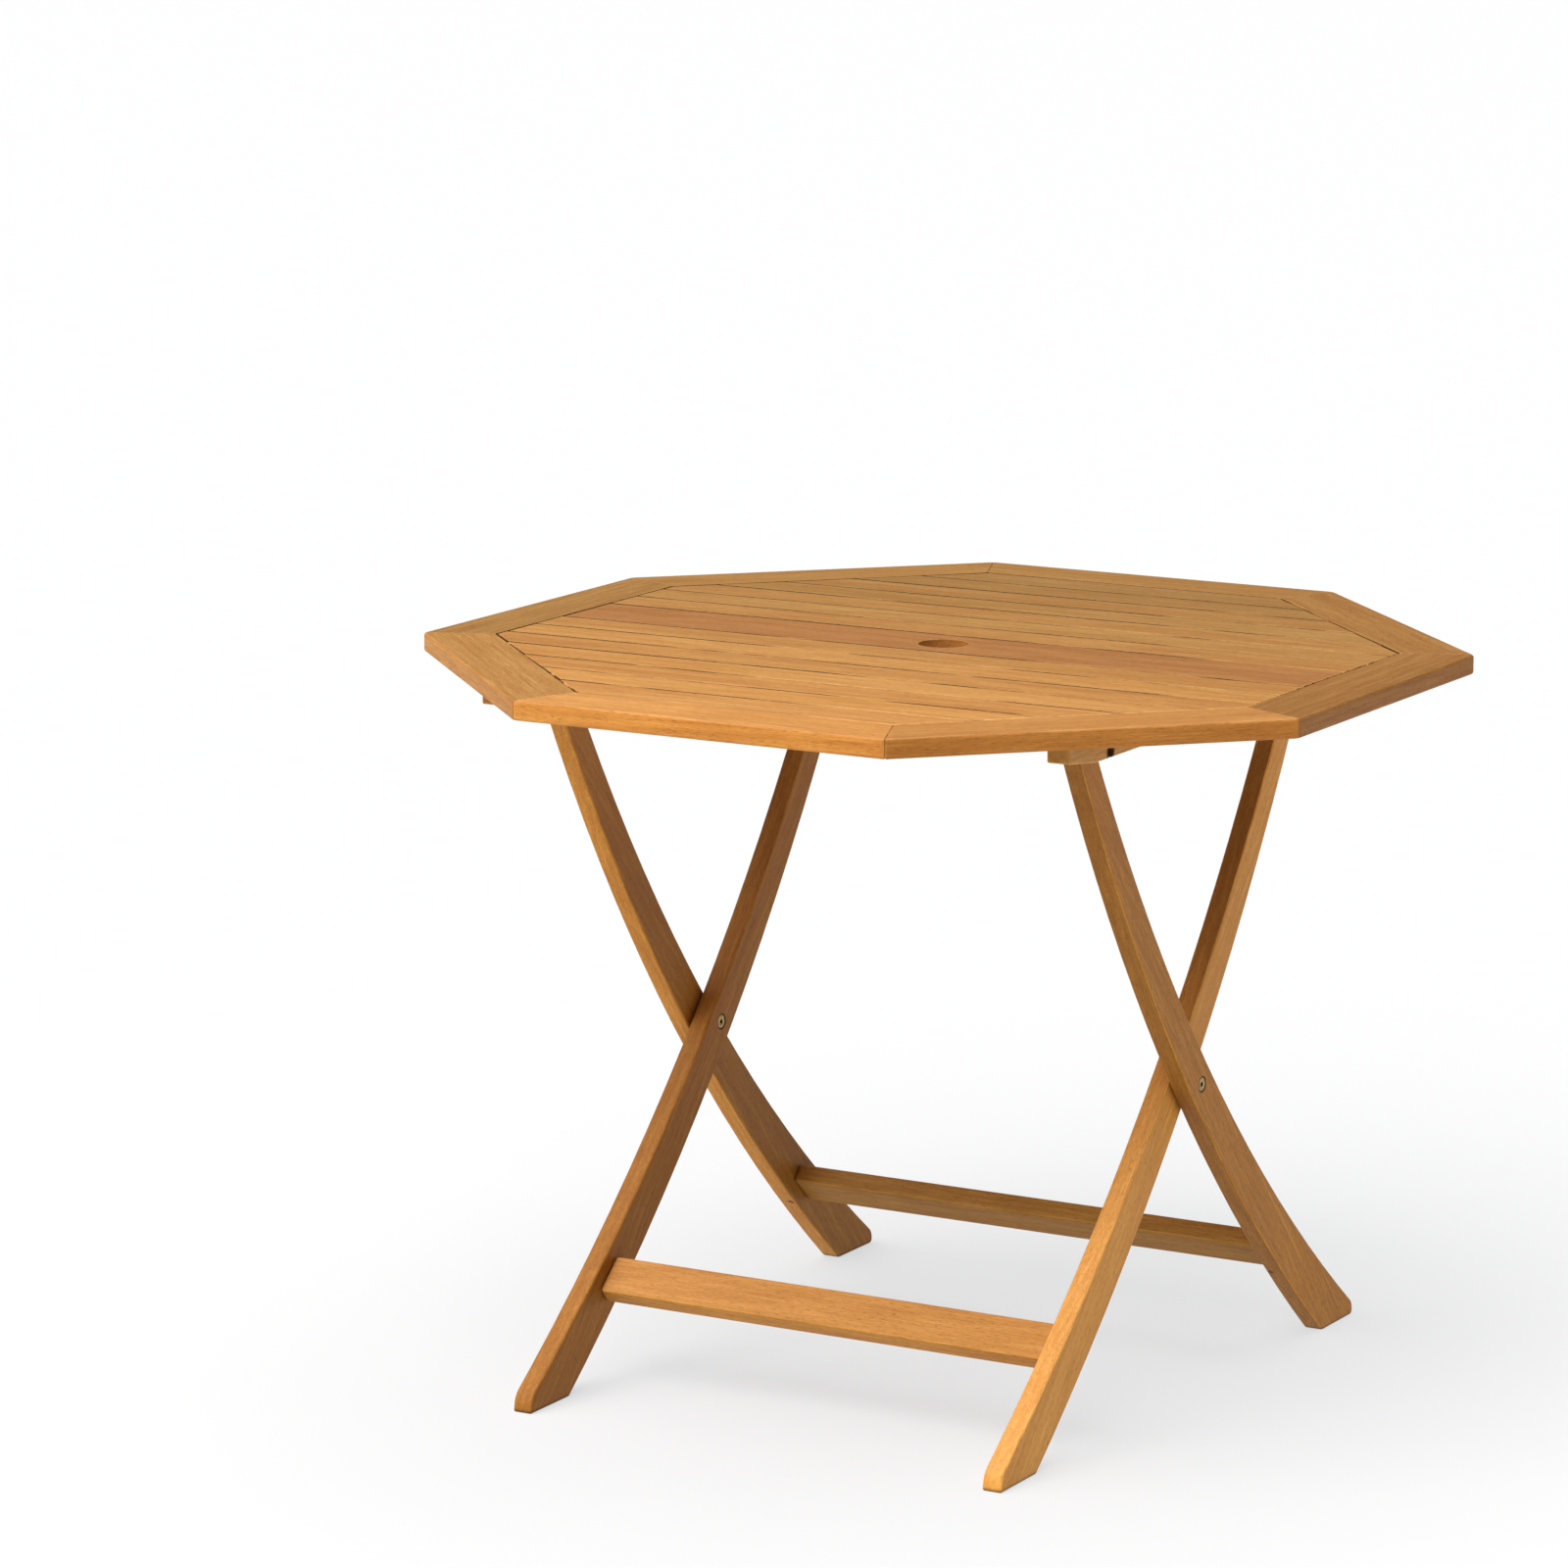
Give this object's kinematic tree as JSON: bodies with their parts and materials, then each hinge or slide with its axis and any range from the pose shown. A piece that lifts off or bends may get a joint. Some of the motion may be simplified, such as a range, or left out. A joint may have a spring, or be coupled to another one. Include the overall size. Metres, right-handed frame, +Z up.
{
  "type": "folding octagonal garden table",
  "caption": "Octagonal slatted wooden garden table with a parasol hole, standing on two curved crossed leg frames that fold under a hinged top.",
  "frame": {"origin": "on the floor, straight below the centre of the parasol hole, with the table set up", "axes": "+Z up, +X along the slats and the leg frames' rails, -Y towards the side where the inner leg frame's feet stand"},
  "size_m": [0.99, 0.99, 0.75],
  "materials": {
    "frame_wood": "oiled, satin",
    "honey_slat_wood": "oiled, satin",
    "amber_slat_wood": "oiled, satin",
    "centre_slat_wood": "oiled, satin",
    "leg_wood": "oiled, satin",
    "brass": "plated, satin",
    "zinc_plated_steel": "zinc plated"
  },
  "bodies": {
    "outer_leg_frame": {"hinge_washer_left": "brass", "hinge_washer_right": "brass", "outer_leg_left": "leg_wood", "outer_leg_right": "leg_wood", "outer_lower_rail": "leg_wood", "outer_rail_pin_left": "leg_wood", "outer_rail_pin_right": "leg_wood", "pivot_bolt_left": "brass", "pivot_bolt_right": "brass", "pivot_nut_left": "brass", "pivot_nut_right": "brass", "pivot_washer_left": "brass", "pivot_washer_right": "brass"},
    "inner_leg_frame": {"inner_leg_left": "leg_wood", "inner_leg_right": "leg_wood", "inner_lower_rail": "leg_wood", "inner_rail_pin_left": "leg_wood", "inner_rail_pin_right": "leg_wood", "inner_top_rail": "leg_wood"},
    "tabletop": {"bearer_left": "leg_wood", "bearer_right": "leg_wood", "bearer_screw_left_front": "zinc_plated_steel", "bearer_screw_left_middle": "zinc_plated_steel", "bearer_screw_left_rear": "zinc_plated_steel", "bearer_screw_right_front": "zinc_plated_steel", "bearer_screw_right_middle": "zinc_plated_steel", "bearer_screw_right_rear": "zinc_plated_steel", "catch_left": "leg_wood", "catch_right": "leg_wood", "catch_screw_left": "zinc_plated_steel", "catch_screw_right": "zinc_plated_steel", "frame_front": "frame_wood", "frame_front_left": "frame_wood", "frame_front_right": "frame_wood", "frame_left": "frame_wood", "frame_rear": "frame_wood", "frame_rear_left": "frame_wood", "frame_rear_right": "frame_wood", "frame_right": "frame_wood", "hinge_bolt_left": "brass", "hinge_bolt_right": "brass", "hinge_nut_left": "brass", "hinge_nut_right": "brass", "slat_centre": "centre_slat_wood", "slat_front_1": "amber_slat_wood", "slat_front_2": "honey_slat_wood", "slat_front_3": "amber_slat_wood", "slat_front_4": "honey_slat_wood", "slat_front_5": "amber_slat_wood", "slat_front_6": "honey_slat_wood", "slat_front_7": "amber_slat_wood", "slat_rear_1": "amber_slat_wood", "slat_rear_2": "honey_slat_wood", "slat_rear_3": "amber_slat_wood", "slat_rear_4": "honey_slat_wood", "slat_rear_5": "amber_slat_wood", "slat_rear_6": "honey_slat_wood", "slat_rear_7": "amber_slat_wood"}
  },
  "joints": [
    {"name": "top_fold", "type": "hinge", "parent": "tabletop", "child": "outer_leg_frame", "pos_m": [0, -0.2708, 0.713], "axis": [-1, 0, 0], "range_deg": [0, 117]},
    {"name": "leg_fold", "type": "hinge", "parent": "outer_leg_frame", "child": "inner_leg_frame", "pos_m": [0, -0.0095, 0.3285], "axis": [1, 0, 0], "range_deg": [0, 60]}
  ],
  "couplings": [
    {"joint": "leg_fold", "follows": "top_fold", "ratio": 0.5128}
  ]
}
